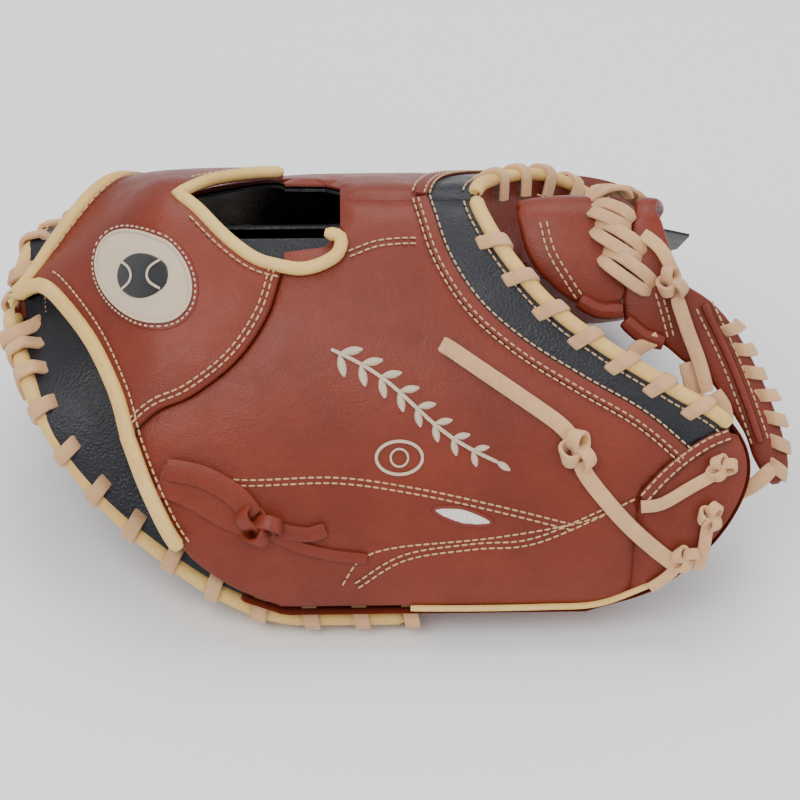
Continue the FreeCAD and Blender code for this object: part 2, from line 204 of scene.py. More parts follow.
def evenly(line, pitch):
    total = sum((b - a).length for a, b in zip(line, line[1:]))
    count = max(1, int(round(total / pitch)))
    step = total / count
    out, walked, want = [], 0.0, 0.0
    for a, b in zip(line, line[1:]):
        gap = (b - a).length
        while want <= walked + gap + 1e-6 and len(out) <= count:
            out.append(a.lerp(b, (want - walked) / max(gap, 1e-9)))
            want += step
        walked += gap
    return out


def sideways(line, shift):
    out = []
    for i, p in enumerate(line):
        a, b = line[max(0, i - 1)], line[min(len(line) - 1, i + 1)]
        way = (b - a).normalized()
        out.append(p + Vector((-way.y, way.x)) * shift)
    return out


def onSide(points, side):
    return [(x, side * r) for x, r in points]


# Meshes
def makeObject(name, verts, faces, material, smooth=True, angle=40.0):
    mesh = bpy.data.meshes.new(name)
    mesh.from_pydata([tuple(Vector(v) * 0.001) for v in verts], [], faces)
    mesh.validate()
    mesh.update()
    obj = bpy.data.objects.new(name, mesh)
    bpy.context.scene.collection.objects.link(obj)
    mesh.materials.append(material)
    bpy.ops.object.select_all(action="DESELECT")
    obj.select_set(True)
    bpy.context.view_layer.objects.active = obj
    if smooth:
        bpy.ops.object.shade_smooth_by_angle(angle=math.radians(angle))
    return obj


def borderDistance(points, loop):
    p = np.array(points)[:, None, :]
    a = np.array(loop)[None, :, :]
    b = np.roll(np.array(loop), -1, axis=0)[None, :, :]
    ab = b - a
    t = ((p - a) * ab).sum(2) / np.maximum((ab * ab).sum(2), 1e-9)
    near = a + ab * np.clip(t, 0, 1)[..., None]
    return np.sqrt(((p - near) ** 2).sum(2)).min(1)


def insideLoop(points, loop):
    p = np.array(points)
    a = np.array(loop)
    b = np.roll(a, -1, axis=0)
    hits = np.zeros(len(p), int)
    for (x0, y0), (x1, y1) in zip(a, b):
        cross = (y0 > p[:, 1]) != (y1 > p[:, 1])
        at = x0 + (p[:, 1] - y0) * (x1 - x0) / (y1 - y0 if y1 != y0 else 1e-9)
        hits += cross & (p[:, 0] < at)
    return hits % 2 == 1


def fillNet(loop, lattice, rings):
    # Points and triangles inside a flat outline: rows along its edge, then a lattice.
    low, high = np.array(loop).min(0), np.array(loop).max(0)
    closedLoop = [Vector(p) for p in loop] + [Vector(loop[0])]
    area = sum(a.x * b.y - b.x * a.y for a, b in zip(closedLoop, closedLoop[1:]))
    turn = 1.0 if area > 0 else -1.0
    candidates = []
    for d in rings:
        candidates += [(tuple(p), d) for p in sideways(closedLoop, turn * d)[:-1]]
    for j in range(int((high[1] - low[1]) / (lattice * 0.866)) + 2):
        y = low[1] + j * lattice * 0.866
        start = low[0] + (lattice / 2 if j % 2 else 0)
        for i in range(int((high[0] - low[0]) / lattice) + 2):
            candidates.append(((start + i * lattice, y), None))
    spots = [c[0] for c in candidates]
    far = borderDistance(spots, loop)
    kept = list(loop)
    for (p, d), ok, f in zip(candidates, insideLoop(spots, loop), far):
        room = max(rings) + lattice * 0.35 if d is None else d * 0.93
        if ok and f >= room:
            kept.append(p)
    found = delaunay_2d_cdt([Vector(p) for p in kept], [],
                            [list(range(len(loop)))], 1, 1e-4)
    return found[0], found[2]


def panel(name, outline, material, h=2.0, thick=2.0, kind=domeAt, lattice=4.0,
          edge=1.4, puff=0.0, rings=(0.5, 1.4), relief=None):
    # A sheet of leather over the surface, with rounded edges and closed all round.
    loop = [tuple(p) for p in outline]
    flat, tris = fillNet(loop, lattice, rings)
    top, bottom = [], []
    for p, far in zip(flat, borderDistance([tuple(p) for p in flat], loop)):
        up = h
        if far < edge:
            up -= edge * (1.0 - math.sqrt(max(0.0, 1.0 - (1.0 - far / edge) ** 2)))
        up += puff * (1.0 - math.exp(-far / 9.0))
        if relief:
            up += relief(p.x, p.y)
        base = basePoint(p.x, p.y, kind)
        normal = surfaceNormal(p.x, p.y, kind)
        top.append(base + normal * up)
        bottom.append(base + normal * (h - thick))
    count = len(flat)
    faces = []
    for t in tris:
        a, b, c = (flat[i] for i in t)
        up = (b - a).x * (c - a).y - (b - a).y * (c - a).x > 0
        # s runs to the left of x seen from outside, so a left turn faces out
        order = tuple(t) if up else tuple(reversed(t))
        faces.append(order)
        faces.append(tuple(i + count for i in reversed(order)))
    edges = {(a, b): True for f in faces[::2] for a, b in zip(f, f[1:] + f[:1])}
    faces += [(b, a, a + count, b + count) for a, b in edges if (b, a) not in edges]
    return makeObject(name, top + bottom, faces, material)


def section(width, thick, corner=0.35, sides=3):
    # A flat lace's cross section, rounded at the corners.
    w, t = width / 2.0, thick / 2.0
    c = min(w, t) * 2.0 * corner
    out = []
    for cx, cy, start in ((w - c, t - c, 0), (c - w, t - c, 90),
                          (c - w, c - t, 180), (w - c, c - t, 270)):
        for k in range(sides):
            a = math.radians(start + 90.0 * k / (sides - 1))
            out.append((cx + c * math.cos(a), cy + c * math.sin(a)))
    return out


def sweepData(points, normals, shape, taper=0.0):
    verts, faces = [], []
    count, around = len(points), len(shape)
    for i, p in enumerate(points):
        a, b = points[max(0, i - 1)], points[min(count - 1, i + 1)]
        way = (b - a).normalized()
        up = (normals[i] - way * normals[i].dot(way)).normalized()
        out = way.cross(up)
        size = 1.0
        if taper and i in (0, count - 1):
            size = 1.0 - taper
        for u, v in shape:
            verts.append(p + out * (u * size) + up * (v * size))
    for i in range(count - 1):
        for k in range(around):
            m = (k + 1) % around
            faces.append((i * around + k, i * around + m,
                          (i + 1) * around + m, (i + 1) * around + k))
    faces.append(tuple(reversed(range(around))))
    faces.append(tuple((count - 1) * around + k for k in range(around)))
    return verts, [tuple(reversed(f)) for f in faces]


def gather(parts):
    verts, faces = [], []
    for v, f in parts:
        start = len(verts)
        verts += v
        faces += [tuple(i + start for i in face) for face in f]
    return verts, faces


def laid(line, h, kind=domeAt):
    # A line drawn on the surface, lifted by h, with the surface's normals.
    points, normals = [], []
    for i, p in enumerate(line):
        lift = h[i] if isinstance(h, list) else h
        points.append(spot(p.x, p.y, lift, kind))
        normals.append(surfaceNormal(p.x, p.y, kind))
    return points, normals


def ribbonData(points, width, thick, h, kind=domeAt, corner=0.35, step=2.5):
    line = smoothLine(points, step)
    p, n = laid(line, h, kind)
    return sweepData(p, n, section(width, thick, corner), 0.12)


def stitchData(points, pitch=3.2, length=2.5, size=0.42, h=0.1, kind=domeAt, shift=0.0):
    # A row of thread stitches, each one a short rounded bar.
    line = evenly(sideways(smoothLine(points, 1.5), shift), pitch)
    parts = []
    for a, b in zip(line, line[1:]):
        way = b - a
        if way.length < 1e-6:
            continue
        mid = (a + b) * 0.5
        half = way.normalized() * (length / 2.0)
        normal = surfaceNormal(mid.x, mid.y, kind)
        ends = [spot(q.x, q.y, h, kind) for q in (mid - half, mid + half)]
        along = (ends[1] - ends[0]).normalized()
        side = along.cross(normal)
        verts, faces = [], []
        stations = ((0.0, 0.35, -0.25), (0.2, 0.95, 0.1), (0.8, 0.95, 0.1), (1.0, 0.35, -0.25))
        for t, wide, rise in stations:
            at = ends[0].lerp(ends[1], t) + normal * (rise * size)
            for k in range(6):
                a6 = math.tau * k / 6
                verts.append(at + side * (math.cos(a6) * size * wide)
                             + normal * (math.sin(a6) * size * wide))
        for i in range(3):
            for k in range(6):
                m = (k + 1) % 6
                faces.append((i * 6 + k, i * 6 + m, i * 6 + 6 + m, i * 6 + 6 + k))
        faces.append((5, 4, 3, 2, 1, 0))
        faces.append((18, 19, 20, 21, 22, 23))
        parts.append((verts, [tuple(reversed(f)) for f in faces]))
    return gather(parts)


def whipData(x, s, way, width=5.6, thick=1.6, kind=domeAt, rise=3.4, inner=7.0,
             outer=3.2, drop=5.0, skew=0.0, flip=1.0):
    # One turn of lace over an edge roll: up from its hole, over and down outside.
    across = Vector((-way.y, way.x)) * flip
    steps = ((-inner, -0.8), (-inner + 0.5, 0.9), (-inner + 2.2, 1.7),
             (-1.6, rise), (0.9, rise), (outer - 0.4, rise - 1.3), (outer + 0.5, -0.6),
             (outer + 0.3, -drop))
    rough = []
    for d, h in steps:
        at = Vector((x, s)) + across * d + way * (skew * (d + inner) / (inner + outer))
        rough.append(tuple(spot(at.x, at.y, h, kind)))
    line = smoothLine(rough, 1.6)
    middle = spot(x, s, -3.0, kind)
    normals = []
    edgeWay = spot(x + way.x, s + way.y, 0, kind) - spot(x, s, 0, kind)
    for i, p in enumerate(line):
        a, b = line[max(0, i - 1)], line[min(len(line) - 1, i + 1)]
        n = edgeWay.cross((b - a)).normalized()
        if n.dot(p - middle) < 0:
            n = -n
        normals.append(n)
    return sweepData(line, normals, section(width, thick), 0.0)


def knotData(centre, normal, way, size=6.0, width=5.0, thick=1.7, turn=0.0):
    # An overhand knot drawn up tight.
    side = normal.cross(way).normalized()
    line, normals = [], []
    for i in range(57):
        t = math.tau * i / 56 + turn
        u = (math.sin(t) + 1.7 * math.sin(2 * t)) / 2.7
        v = (math.cos(t) - 1.7 * math.cos(2 * t)) / 2.7
        w = -math.sin(3 * t) * 0.42
        at = way * (u * size * 1.25) + side * (v * size * 0.9) + normal * (w * size)
        line.append(centre + at)
        normals.append((at * 0.5 + normal * 0.6 * size * w).normalized())
    return sweepData(line, normals, section(width, thick), 0.0)


# Shared leather effects
def newGroup(name, inputs, outputs):
    group = bpy.data.node_groups.new(name, "ShaderNodeTree")
    for label, kind, value in inputs:
        socket = group.interface.new_socket(label, in_out="INPUT", socket_type=kind)
        socket.default_value = value
    for label, kind in outputs:
        group.interface.new_socket(label, in_out="OUTPUT", socket_type=kind)
    return group, group.nodes.new("NodeGroupInput"), group.nodes.new("NodeGroupOutput")


def newNode(group, kind, values=None, **settings):
    node = group.nodes.new("ShaderNode" + kind)
    for label, value in settings.items():
        setattr(node, label, value)
    for label, value in (values or {}).items():
        node.inputs[label].default_value = value
    return node


def wire(group, *runs):
    for a, fromSocket, b, toSocket in runs:
        group.links.new(a.outputs[fromSocket], b.inputs[toSocket])


def makeLeatherGroup():
    # Mottled tone, fine pebbled grain and soft creases, in object space.
    group, given, out = newGroup(
        "leatherSurface",
        [("Light", "NodeSocketColor", (0.4, 0.15, 0.09, 1)),
         ("Dark", "NodeSocketColor", (0.2, 0.06, 0.04, 1)),
         ("Grain", "NodeSocketFloat", 0.25),
         ("Grain Scale", "NodeSocketFloat", 1100.0),
         ("Gloss", "NodeSocketFloat", 0.42)],
        [("Color", "NodeSocketColor"), ("Roughness", "NodeSocketFloat"),
         ("Normal", "NodeSocketVector")])
    place = newNode(group, "TexCoord")
    tone = newNode(group, "TexNoise", {"Scale": 22.0, "Detail": 5.0, "Roughness": 0.6})
    speck = newNode(group, "TexNoise", {"Scale": 420.0, "Detail": 3.0})
    creases = newNode(group, "TexNoise", {"Scale": 75.0, "Detail": 6.0, "Distortion": 0.8})
    cells = newNode(group, "TexVoronoi")
    ramp = newNode(group, "MapRange", {"From Min": 0.3, "From Max": 0.72})
    fineRamp = newNode(group, "MapRange", {"To Min": 0.86, "To Max": 1.12})
    shine = newNode(group, "MapRange", {"From Min": 0.3, "From Max": 0.7,
                                        "To Min": -0.06, "To Max": 0.08})
    mix = newNode(group, "Mix", data_type="RGBA")
    fine = newNode(group, "Mix", {"Factor": 1.0}, data_type="RGBA", blend_type="MULTIPLY")
    pebble = newNode(group, "Bump", {"Distance": 0.0004})
    fold = newNode(group, "Bump", {"Distance": 0.0022, "Strength": 0.16})
    total = newNode(group, "Math", operation="ADD")
    wire(group, *[(place, "Object", node, "Vector") for node in (tone, speck, cells, creases)])
    wire(group,
         (given, "Grain Scale", cells, "Scale"),
         (tone, "Fac", ramp, "Value"), (ramp, "Result", mix, "Factor"),
         (given, "Dark", mix, "A"), (given, "Light", mix, "B"),
         (speck, "Fac", fineRamp, "Value"), (mix, "Result", fine, "A"),
         (fineRamp, "Result", fine, "B"), (fine, "Result", out, "Color"),
         (given, "Grain", pebble, "Strength"), (cells, "Distance", pebble, "Height"),
         (creases, "Fac", fold, "Height"), (pebble, "Normal", fold, "Normal"),
         (fold, "Normal", out, "Normal"), (creases, "Fac", shine, "Value"),
         (given, "Gloss", total, 0), (shine, "Result", total, 1),
         (total, "Value", out, "Roughness"))
    return group


def makeThreadGroup():
    # Fine ribs of wound thread or twill. The colour is darkened in the rib grooves and
    # lightened on the crests, in step with the bump: painted shade and painted highlight.
    group, given, out = newGroup(
        "threadSurface",
        [("Color", "NodeSocketColor", (0.8, 0.7, 0.55, 1)),
         ("Scale", "NodeSocketFloat", 900.0), ("Turn", "NodeSocketFloat", 0.6)],
        [("Color", "NodeSocketColor"), ("Normal", "NodeSocketVector")])
    place = newNode(group, "TexCoord")
    turned = newNode(group, "VectorRotate")
    wave = newNode(group, "TexWave", {"Distortion": 0.6})
    bump = newNode(group, "Bump", {"Distance": 0.0006, "Strength": 0.6})
    shade = newNode(group, "Mix", {"Factor": 1.0}, data_type="RGBA", blend_type="MULTIPLY")
    # painted shade in the rib grooves and painted highlight on the rib crests, from the same
    # wave as the bump
    lift = newNode(group, "MapRange", {"To Min": 0.72, "To Max": 1.08})
    wire(group,
         (place, "Object", turned, "Vector"), (given, "Turn", turned, "Angle"),
         (turned, "Vector", wave, "Vector"), (given, "Scale", wave, "Scale"),
         (wave, "Fac", bump, "Height"), (wave, "Fac", lift, "Value"),
         (given, "Color", shade, "A"), (lift, "Result", shade, "B"),
         (shade, "Result", out, "Color"), (bump, "Normal", out, "Normal"))
    return group


leatherGroup = makeLeatherGroup()
threadGroup = makeThreadGroup()


def makeMaterial(name, shared, values, wired, fixed):
    # The shader takes what varies from a shared group, and its fixed values directly.
    material = bpy.data.materials.new(name)
    material.use_nodes = True
    nodes, links = material.node_tree.nodes, material.node_tree.links
    shader = nodes["Principled BSDF"]
    group = nodes.new("ShaderNodeGroup")
    group.node_tree = shared
    for label, value in values.items():
        group.inputs[label].default_value = value
    for label, socket in wired:
        links.new(group.outputs[label], shader.inputs[socket])
    for label, value in fixed.items():
        shader.inputs[label].default_value = value
    return material


def leather(name, light, dark, grain=0.25, scale=1100.0, gloss=0.42, sheen=0.0):
    values = {"Light": (*light, 1), "Dark": (*dark, 1), "Grain": grain,
              "Grain Scale": scale, "Gloss": gloss}
    wired = (("Color", "Base Color"), ("Roughness", "Roughness"), ("Normal", "Normal"))
    fixed = {"Specular IOR Level": 0.3, "Sheen Weight": sheen}
    return makeMaterial(name, leatherGroup, values, wired, fixed)


def thread(name, color, scale=900.0, turn=0.6, rough=0.75):
    values = {"Color": (*color, 1), "Scale": scale, "Turn": turn}
    wired = (("Color", "Base Color"), ("Normal", "Normal"))
    return makeMaterial(name, threadGroup, values, wired,
                        {"Roughness": rough, "Sheen Weight": 0.15})


looks = {
    "brownLight": (0.205, 0.031, 0.013),
    "brownDark": (0.135, 0.019, 0.009),
    "tapeLight": (0.20, 0.034, 0.018),
    "tapeDark": (0.13, 0.022, 0.013),
    "blackLight": (0.022, 0.022, 0.027),
    "blackDark": (0.009, 0.009, 0.012),
    "camelLight": (0.78, 0.52, 0.18),
    "camelDark": (0.66, 0.40, 0.12),
    "laceLight": (0.72, 0.42, 0.19),
    "laceDark": (0.50, 0.28, 0.15),
    "thread": (0.80, 0.50, 0.26),
    "cream": (0.80, 0.62, 0.44),
    "ink": (0.012, 0.012, 0.015),
    "wool": (0.85, 0.82, 0.76),
}
brown = leather("brownLeather", looks["brownLight"], looks["brownDark"], 0.22, 1200.0, 0.40)
brownRaw = leather("brownTape", looks["tapeLight"], looks["tapeDark"], 0.3, 900.0, 0.55)
black = leather("blackLeather", looks["blackLight"], looks["blackDark"], 0.5, 900.0, 0.38)
camel = leather("bindingLeather", looks["camelLight"], looks["camelDark"], 0.25, 1300.0, 0.5)
lace = leather("laceLeather", looks["laceLight"], looks["laceDark"], 0.3, 1500.0, 0.6, 0.2)
cotton = thread("stitchThread", looks["thread"], 1400.0, 0.7, 0.7)
twill = thread("creamTwill", looks["cream"], 700.0, 0.75, 0.8)
satin = thread("creamSatin", looks["cream"], 1100.0, 2.2, 0.55)
blackThread = thread("blackThread", looks["ink"], 1000.0, 1.2, 0.6)
wool = thread("woolFelt", looks["wool"], 300.0, 0.3, 0.95)


def add(name, body, nodes, material, data=None, obj=None, blendTo=None):
    if obj is None:
        obj = makeObject(name, data[0], data[1], material)
    if blendTo:
        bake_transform(obj)
    else:
        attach(obj, body)
    if nodes:
        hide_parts(*nodes)
    return obj


def addPanel(name, body, nodes, outline, material, blendTo=None, **shape):
    obj = panel(name, outline, material, **shape)
    return add(name, body, nodes, material, obj=obj, blendTo=blendTo)


# Outlines shared by both halves, as (x, r)
heelFaceOn = [(-149, 38), (-150.5, 47), (-147.5, 58), (-141, 76), (-131, 95), (-112, 120),
            (-86, 143), (-66, 156), (-45, 164)]
heelCurves = {-1: [(x, max(0.5, r)) for x, r in pinned(heelFaceOn, heelAt)],
              1: [(-148, 0.5), (-149, 20), (-147, 45), (-140, 75), (-128, 100), (-110, 123),
                  (-82, 146), (-45, 164.5)]}
thumbTip = [(75, 164.5), (104, 155), (127, 135), (138, 112), (131, 93), (108, 78),
            (84, 63), (62, 46), (46, 27), (36, 10), (33, 0)]
fingerTip = [(75, 164.5), (96, 157), (109, 140), (113, 120), (107, 99), (93, 78),
             (76, 59), (60, 43), (46, 26), (36, 9.5), (33, 0)]
bandLine = [(12, 0), (14, 9), (20, 27), (32, 46), (50, 62), (72, 76), (96, 90), (114, 105)]
wristEdge = [(-147, 33), (-139, 35.5), (-130, 41), (-117, 57), (-107, 78), (-103, 94),
             (-97, 112), (-89, 130), (-84, 138)]
fingerWrist = [(-146, 0), (-136, 10), (-122, 24), (-110, 40), (-103, 60), (-101, 78),
               (-102, 92)]
strapSeam = [(-102, 93), (-92, 85), (-78, 79), (-61, 66), (-49, 49), (-43, 31)]
strapHand = [(-43, 30), (-53, 27), (-64, 19), (-76, 7), (-90, -3)]
tips = {-1: thumbTip, 1: fingerTip}


def side2(points, side):
    return [Vector(p) for p in onSide(points, side)]


def joined(*lines):
    out = []
    for line in lines:
        for p in line:
            if not out or (p - out[-1]).length > 0.3:
                out.append(p)
    if (out[0] - out[-1]).length < 0.3:
        out.pop()
    return out


def curve2(points, step=2.5):
    return smoothLine(side2(points, 1), step)


def straight(r, start, end):
    return [Vector((x, r)) for x in range(start, end, 3)]


def flipped(line, side):
    return [Vector((p.x, side * p.y)) for p in line]


def wayAt(line, q):
    near = min(range(len(line)), key=lambda k: (line[k] - q).length)
    return (line[min(len(line) - 1, near + 1)] - line[max(0, near - 1)]).normalized()


backLook = {"thick": 2.2, "bandThick": 2.3, "puff": 1.4, "bandPuff": 1.2, "tipPuff": 1.0}


def backPanels():
    # Main panel, black band and tip of each half, meeting under raised tapes.
    for side, word in halves:
        body = word + "_side"
        tip = curve2(tips[side])
        band = curve2(bandLine)
        inner = [p for p in tip if p.y < 94 and p.x < 133]
        end = [Vector((123, 99)), Vector((132, 94.5))]
        if side > 0:
            band = [p for p in band if p.x < 80]
            inner = [p for p in tip if p.y < 82]
            end = []
        bandLoop = [p for p in joined(band, end, inner) if p.y >= 0.0]
        addPanel(word + "BandPanel", body, [word + "_web_band"], flipped(bandLoop, side),
                 black, h=0.3, thick=backLook["bandThick"], puff=backLook["bandPuff"],
                 edge=1.2)
        start = side2([(-20, 0), (-20, 13), (-26, 21), (-42, 23)], 1)
        seam = list(reversed(curve2(strapSeam)))
        down = curve2([(-102, 93), (-96, 112), (-89, 129), (-80, 143), (-64, 155),
                       (-45, 163.2)])
        outer = [p for p in sideways(tip, 0.7) if p.y > (104 if side < 0 else 82) and p.x < 134]
        close = list(reversed(band))
        if side < 0:
            tipOuter = [p for p in sideways(tip, 0.7) if p.x > 92 and p.y > 95]
            notch = side2([(95, 126), (97, 119), (104, 113)], 1)
            corner = side2([(114, 105)], 1)
            outer = [p for p in outer if p.x <= tipOuter[0].x] + [tipOuter[0]] + notch
            close = corner + close
            tipLoop = joined(notch, corner, side2([(123, 99), (130, 95.5)], 1),
                             list(reversed(tipOuter)))
            addPanel("thumbTipPanel", "thumb_side", ["thumb_tip_panel"],
                     flipped(tipLoop, side), brown, h=0.2, thick=backLook["thick"],
                     puff=backLook["tipPuff"], edge=1.2)
        mainLoop = joined(start, seam, down, straight(163.2, -42, 76), outer, close)
        obj = addPanel(word + "BackPanel", body, [word + "_back"], flipped(mainLoop, side),
                       brown, h=0.2, thick=backLook["thick"], puff=backLook["puff"],
                       edge=1.4, lattice=3.6)


palmLook = {"thick": 2.5, "swell": 1.6, "tuckIn": 3.0, "levels": 9}


def palmWallData(rim, side):
    # The standing wall, from the back's edge down to the palm, swelling a little.
    verts, faces = [], []
    levels = palmLook["levels"]
    for i, p in enumerate(rim):
        a, b = rim[max(0, i - 1)], rim[min(len(rim) - 1, i + 1)]
        way = (b - a).normalized()
        out = Vector((-way.y, way.x)) * -1.0
        top = min(0.0, domeAt(p.x, p.y)) if p.y < 8 else domeAt(p.x, p.y)
        if p.x < -60:
            top = heelKind[side](p.x, p.y) + 0.5
        for k in range(levels):
            t = k / (levels - 1)
            n = top * (1 - t) + (-mitt["palmDepth"]) * t
            swell = palmLook["swell"] * math.sin(math.pi * t)
            swell -= palmLook["tuckIn"] * max(0.0, (t - 0.85) / 0.15) ** 2
            tuck = -1.6 * max(0.0, (0.12 - t) / 0.12)
            q = p + out * (swell + tuck)
            r = max(q.y, 0.4 + abs(n) * 1.69)
            verts.append(slump(halfPoint(q.x, r, n, side)))
    for i in range(len(rim) - 1):
        for k in range(i * levels, i * levels + levels - 1):
            f = (k, k + 1, k + levels + 1, k + levels)
            faces.append(tuple(reversed(f)) if side < 0 else f)
    return verts, faces


def palmShells():
    # The palm leather turns up round the rim and runs flat under the padding.
    for side, word in halves:
        rim = joined(curve2(heelCurves[side]), straight(164.5, -42, 75), curve2(tips[side]))
        wall = makeObject(word + "PalmWall", *palmWallData(rim, side), brown)
        loop = [p for p in sideways(rim, 3.0) if p.y > 45.0]
        face = panel(word + "PalmFace", flipped(joined(loop), side), brown, h=2.5,
                     thick=palmLook["thick"], kind=innerAt, edge=0.4, lattice=6.0,
                     rings=(1.0,))
        add(wall.name, word + "_side", [word + "_palm_leather"], brown, obj=wall)
        add(face.name, word + "_side", [], brown, obj=face)


liningLook = {"thick": 2.0, "puff": 1.5, "backDepth": 2.6, "backThick": 1.5}


def linings():
    # Black lining of the hand opening, the back lining and the felt pads.
    for side, word in halves:
        edge = joined(curve2(heelCurves[side]), straight(161, -42, 60))
        loop = [Vector((p.x, max(p.y, 17.0 if p.x > -95 else 4.0)))
                for p in sideways(edge, 3.0)]
        loop = joined(loop, side2([(60, 100), (40, 40), (25, 17), (-20, 17), (-80, 17)], 1))
        obj = addPanel(word + "PalmLining", word + "_side",
                       [word + "_palm_liner", word + "_palm_pad"], flipped(loop, side),
                       black, h=0.0, thick=liningLook["thick"],
                       kind=linerAt if side < 0 else farLinerAt, puff=liningLook["puff"],
                       lattice=6.0, edge=1.0)
        start = side2([(-20, 3), (-20, 13), (-26, 21), (-42, 23)], 1)
        seam = list(reversed(curve2(strapSeam)))
        down = curve2([(-102, 93), (-96, 112), (-89, 129), (-80, 143), (-64, 154),
                       (-45, 160)])
        loop = joined(start, seam, down, straight(160, -42, 76),
                      side2([(100, 150), (125, 125), (128, 100), (100, 78), (60, 50),
                             (40, 26), (30, 3)], 1))
        addPanel(word + "BackLining", word + "_side", [word + "_back_lining"],
                 flipped(loop, side), black, h=-liningLook["backDepth"],
                 thick=liningLook["backThick"], lattice=7.0, edge=0.4, rings=(1.0,))


print("panels")
backPanels()
palmShells()
linings()


foldSpan = ((0, -0.03, axisHeight * 0.001), (0, 0.03, axisHeight * 0.001))
strapLook = {"lift": 3.2, "thick": 3.0, "puff": 1.6, "wristRoll": (6.2, 5.6),
             "handRoll": (5.4, 4.6), "wristStitch": 5.0, "handStitch": 4.6}


def strap():
    # The wrist strap crosses the fold, with a rolled edge on both sides.
    lift = strapLook["lift"]
    edge = pinned(wristEdge[:6])
    wrist = curve2([(-150, 2)] + [(x, max(r, 2.5)) for x, r in edge])
    seam = curve2(strapSeam)
    hand = curve2([(-43, 30), (-53, 27), (-64, 19), (-76, 7), (-84, 0)])
    far = curve2(fingerWrist)
    thumbPart = flipped(joined(wrist, seam, hand), -1)
    fingerPart = list(reversed(flipped(joined(far, seam, hand), 1)))
    addPanel("wristStrap", None, ["wrist_strap", "wrist_strap_lining"],
             joined(thumbPart, fingerPart), brown, foldSpan, h=lift,
             thick=strapLook["thick"], puff=strapLook["puff"], edge=1.5, lattice=3.6)
    # Rolled bindings: a fat one at the wrist, a slimmer one round the open back.
    down = curve2(wristEdge[5:])
    whole = joined(list(reversed(down)), list(reversed(wrist)))
    wristBoth = flipped(whole, -1) + flipped(far, 1)[1:] + flipped(down, 1)[1:]
    p, n = laid(wristBoth, lift)
    data = sweepData(p, n, section(*strapLook["wristRoll"], 0.48, 5), 0.4)
    add("wristBinding", None, ["strap_wrist_binding"], camel, data=data, blendTo=foldSpan)
    handBoth = flipped(hand, -1) + list(reversed(flipped(hand, 1)))[1:]
    curl = side2([(-26, -17), (-20, -19), (-21, -25), (-27, -29), (-35, -31)], 1)
    p, n = laid(curl + handBoth, lift)
    line = smoothLine(p, 2.0)
    normals = [surfaceNormal(q.x - mitt["shift"], -20 if q.y < 0 else 20, domeAt)
               for q in line]
    data = sweepData(line, normals, section(*strapLook["handRoll"], 0.48, 5), 0.4)
    add("handBinding", None, ["strap_hand_binding"], camel, data=data, blendTo=foldSpan)
    rows = []
    edgeOf = {-1: wrist[6:] + down[1:], 1: far[6:]}
    for side in (-1, 1):
        rows.append(stitchData(flipped(edgeOf[side], side), h=4.6,
                               shift=-strapLook["wristStitch"] * side))
        rows.append(stitchData(flipped(hand[:-4], side), h=4.6,
                               shift=-strapLook["handStitch"] * side))
        rows += [stitchData(flipped(seam, side), h=4.4, shift=-inset * side)
                 for inset in (2.6, 4.6)]
    add("strapStitches", None, [], cotton, data=gather(rows), blendTo=foldSpan)


patchLook = {"centre": (-95.5, 33.5), "tilt": 46, "border": (23.4, 17.8),
             "ground": (20.2, 14.8), "stitch": (21.8, 16.3), "cord": (19.9, 14.5),
             "ball": (8.6, 8.6)}


def ellipse(size, turn, count=72):
    x, r = patchLook["centre"]
    out = []
    for i in range(count):
        t = math.tau * i / count
        u, v = size[0] * math.cos(t), size[1] * math.sin(t)
        c, s = math.cos(turn), math.sin(turn)
        out.append((x + u * c - v * s, r + u * s + v * c))
    return side2(pinned(out), -1)


def patch():
    # An oval patch with a stitched border and a plain ball on it.
    x, r = patchLook["centre"]
    turn = math.radians(patchLook["tilt"])
    addPanel("patchBorder", None, ["patch_border"], ellipse(patchLook["border"], turn),
             brown, foldSpan, h=5.3, thick=1.2, edge=1.0, lattice=3.0)
    addPanel("patchGround", None, ["patch_ground"], ellipse(patchLook["ground"], turn),
             twill, foldSpan, h=6.0, thick=1.4, edge=0.8, lattice=2.5, puff=0.4)
    addPanel("patchBall", None, ["patch_emblem"], ellipse(patchLook["ball"], 0.0, 48),
             blackThread, foldSpan, h=6.9, thick=1.0, edge=0.6, lattice=2.0, puff=0.3)
    parts = []
    for way in (-1, 1):
        seam = [(x + way * 6.4, r - 5.4), (x + way * 3.6, r - 2.8), (x + way * 2.8, r),
                (x + way * 3.6, r + 2.8), (x + way * 6.4, r + 5.4)]
        parts.append(ribbonData(onSide(pinned(seam), -1), 1.0, 0.5, 7.35, step=1.0))
    ring = ellipse(patchLook["stitch"], turn, 60)
    parts.append(stitchData(ring + ring[:1], pitch=2.3, length=1.4, size=0.42, h=5.6))
    ring = ellipse(patchLook["cord"], turn, 60)
    parts.append(ribbonData(ring + ring[:1], 1.3, 0.9, 6.2))
    add("patchStitches", None, [], satin, data=gather(parts), blendTo=foldSpan)


webEdgeLook = {"roll": (6.0, 5.2), "pitch": 16.5, "laceWidth": 5.6, "laceThick": 2.2}


def webEdges():
    # Rolled binding along the web side of each half, whipped with flat lace.
    for side, word in halves:
        tip = [p for p in curve2(tips[side], 2.0) if 1.0 < p.y < 93.5 and p.x < 133]
        line = flipped(tip, side)
        p, n = laid(line, 0.6)
        data = sweepData(p, n, section(*webEdgeLook["roll"], 0.48, 5), 0.3)
        add(word + "WebBinding", word + "_side", [word + "_web_binding"], camel, data=data)
        loops = []
        for i, q in enumerate(evenly(line, webEdgeLook["pitch"])[1:-1]):
            if side < 0 and (q.x < 38 or i > 6):
                continue
            loops.append(whipData(q.x, q.y, wayAt(line, q), width=webEdgeLook["laceWidth"],
                                  thick=webEdgeLook["laceThick"], rise=3.9, inner=6.8,
                                  outer=3.2, drop=8.0, skew=-5.0, flip=1.0 * side))
        add(word + "WebLace", word + "_side", [word + "_web_lace"], lace,
            data=gather(loops))
        add(word + "WebEdgeStitches", word + "_side", [], cotton,
            data=stitchData(line, h=1.4, shift=-4.9 * side))


